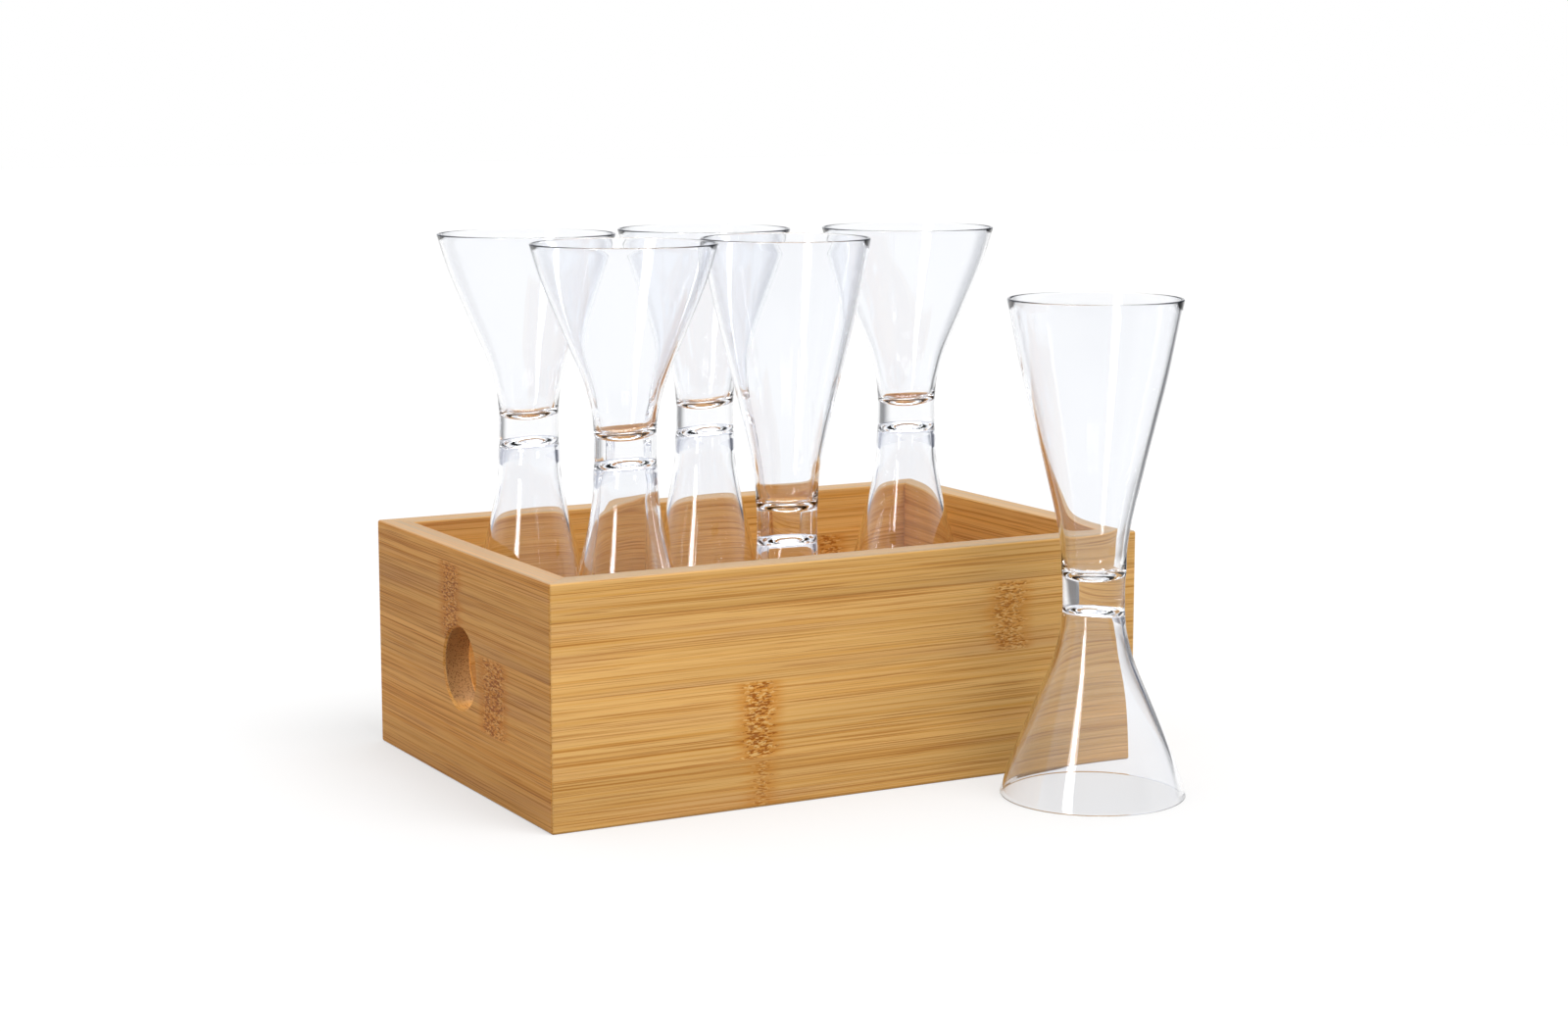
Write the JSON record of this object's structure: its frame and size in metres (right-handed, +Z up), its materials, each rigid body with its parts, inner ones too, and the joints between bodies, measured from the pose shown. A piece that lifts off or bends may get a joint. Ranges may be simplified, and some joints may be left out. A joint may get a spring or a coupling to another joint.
{
  "type": "glass caddy",
  "caption": "Open bamboo caddy with mitred walls and round finger holes, holding hourglass-shaped double-ended tasting glasses that lift out.",
  "frame": {"origin": "on the table, under the middle of the whole set's length and width, the taken-out glass included", "axes": "+X along the caddy's length, +Y to its back, +Z up"},
  "size_m": [0.202, 0.1972, 0.166],
  "materials": {
    "bamboo_walls": "satin lacquered laminated bamboo, fine fibres along each board, darker knuckle bands",
    "bamboo_floor": "satin lacquered laminated bamboo",
    "clear_glass": "clear, fire-polished"
  },
  "bodies": {
    "caddy": {"front_board": "bamboo_walls", "back_board": "bamboo_walls", "left_end_board": "bamboo_walls", "right_end_board": "bamboo_walls", "floor_board": "bamboo_floor"},
    "back_left_glass": {"glass_back_left": "clear_glass"},
    "front_left_glass": {"glass_front_left": "clear_glass"},
    "back_middle_glass": {"glass_back_middle": "clear_glass"},
    "front_middle_glass": {"glass_front_middle": "clear_glass"},
    "right_glass": {"glass_right": "clear_glass"},
    "taken_out_glass": {"glass_taken_out": "clear_glass"}
  },
  "joints": [
    {"name": "lift_back_left", "type": "slide", "parent": "caddy", "child": "back_left_glass", "axis": [0, 0, 1], "range_m": [0, 0.16]},
    {"name": "lift_front_left", "type": "slide", "parent": "caddy", "child": "front_left_glass", "axis": [0, 0, 1], "range_m": [0, 0.16]},
    {"name": "lift_back_middle", "type": "slide", "parent": "caddy", "child": "back_middle_glass", "axis": [0, 0, 1], "range_m": [0, 0.16]},
    {"name": "lift_front_middle", "type": "slide", "parent": "caddy", "child": "front_middle_glass", "axis": [0, 0, 1], "range_m": [0, 0.16]},
    {"name": "lift_right", "type": "slide", "parent": "caddy", "child": "right_glass", "axis": [0, 0, 1], "range_m": [0, 0.16]},
    {"name": "lift_taken_out", "type": "slide", "parent": "caddy", "child": "taken_out_glass", "axis": [0, 0, 1], "range_m": [0, 0.16]}
  ]
}
